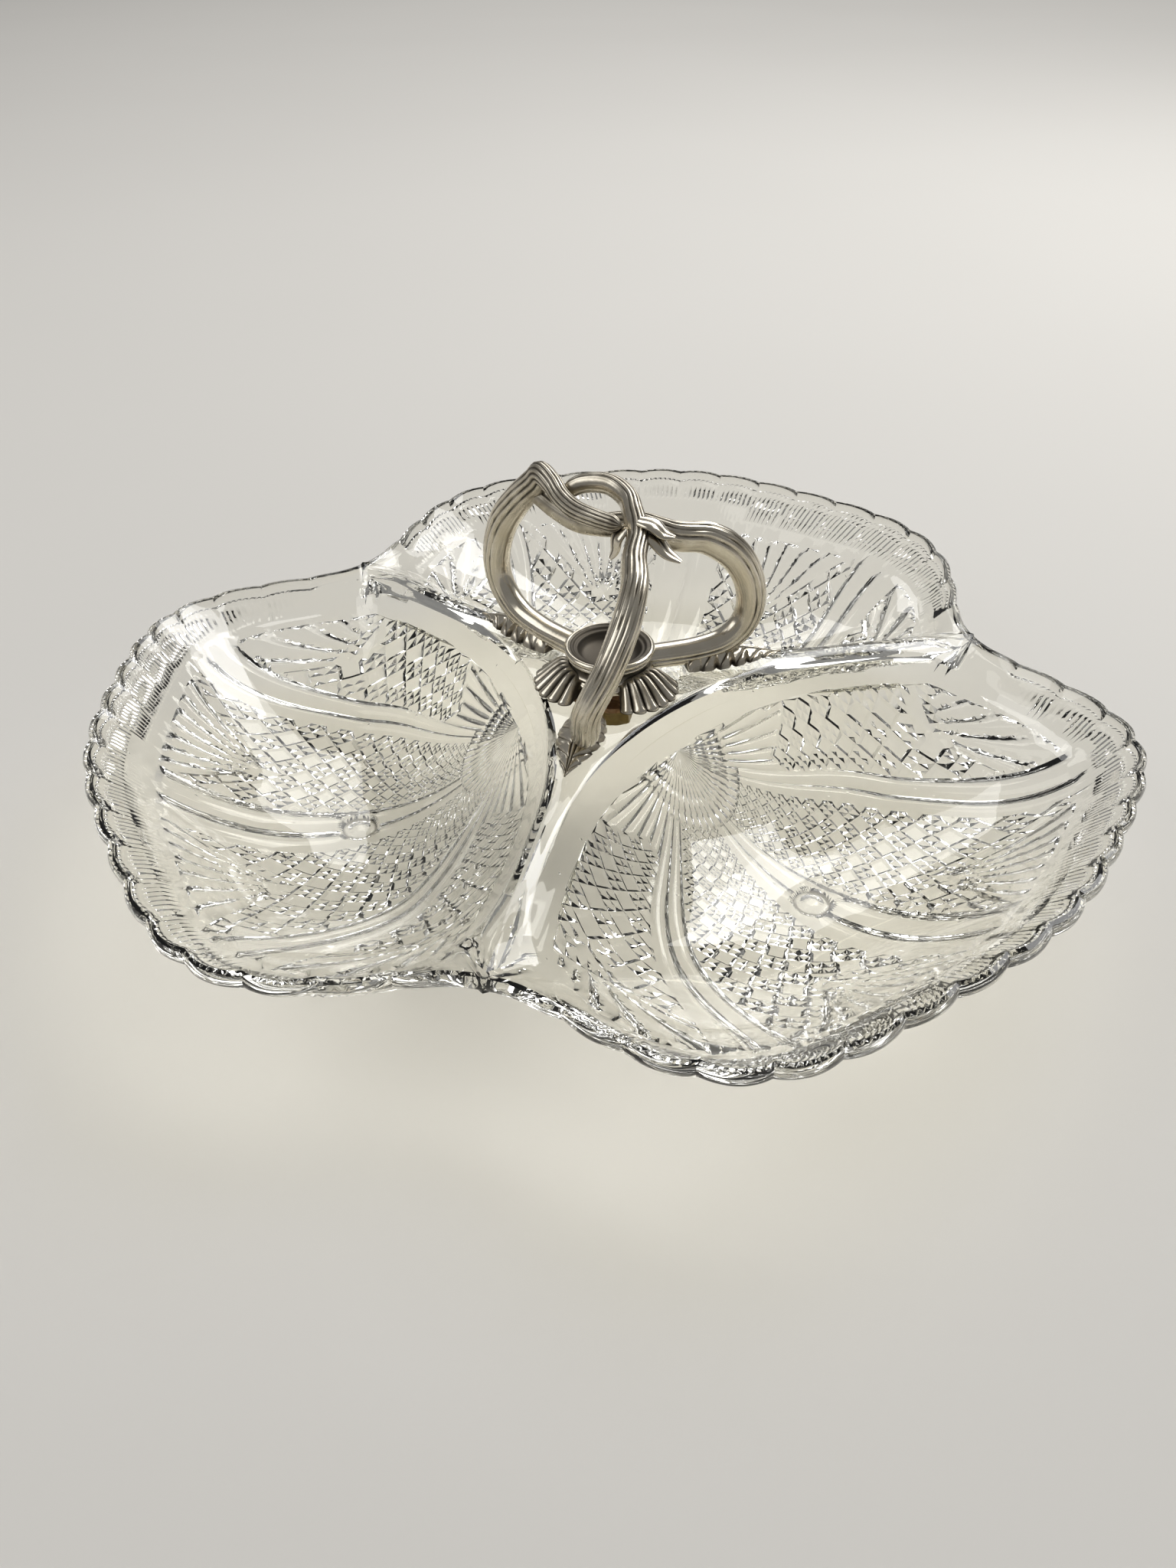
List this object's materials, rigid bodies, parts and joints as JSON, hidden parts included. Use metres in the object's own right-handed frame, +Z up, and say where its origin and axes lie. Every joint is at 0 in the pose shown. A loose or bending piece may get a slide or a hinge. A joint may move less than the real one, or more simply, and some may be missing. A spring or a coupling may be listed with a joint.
{
  "type": "divided serving dish",
  "caption": "Pressed-glass serving dish divided into shell-shaped bowls, with a plated cast handle of knotted loops bolted through its middle.",
  "frame": {"origin": "on the axis of the stud through the middle of the dish, level with the table that the bowls stand on", "axes": "+Z up along the stud, -Y towards the front arm of the handle, one bowl straight back along +Y"},
  "size_m": [0.2728, 0.2575, 0.0929],
  "materials": {
    "clear_glass": "clear pressed glass, smooth above and cut in relief below",
    "silver_plate": "aged silver plate over cast brass, worn bright on top and tarnished brown in the recesses",
    "brass": "dull turned brass",
    "cork": "pressed cork"
  },
  "bodies": {
    "dish": {"glass_dish": "clear_glass", "handle_boss": "silver_plate", "handle_arm_right": "silver_plate", "handle_arm_left_back": "silver_plate", "handle_arm_front": "silver_plate", "leaf_foot_right": "silver_plate", "leaf_foot_left_back": "silver_plate", "leaf_foot_front": "silver_plate", "palmette_back": "silver_plate", "palmette_left": "silver_plate", "palmette_right": "silver_plate", "upper_cork": "cork", "threaded_stud": "brass"},
    "washers": {"lower_cork": "cork", "brass_washer": "brass"},
    "nut": {"fixing_nut": "brass"}
  },
  "joints": [
    {"name": "washers_drop", "type": "slide", "parent": "dish", "child": "washers", "axis": [0, 0, -1], "range_m": [0, 0.006]},
    {"name": "nut_turn", "type": "hinge", "parent": "washers", "child": "nut", "pos_m": [0, 0, 0.0277], "axis": [0, 0, -1], "range_deg": [0, 2160]}
  ],
  "couplings": [
    {"joint": "washers_drop", "follows": "nut_turn", "m_per_rad": 0.00015915}
  ]
}
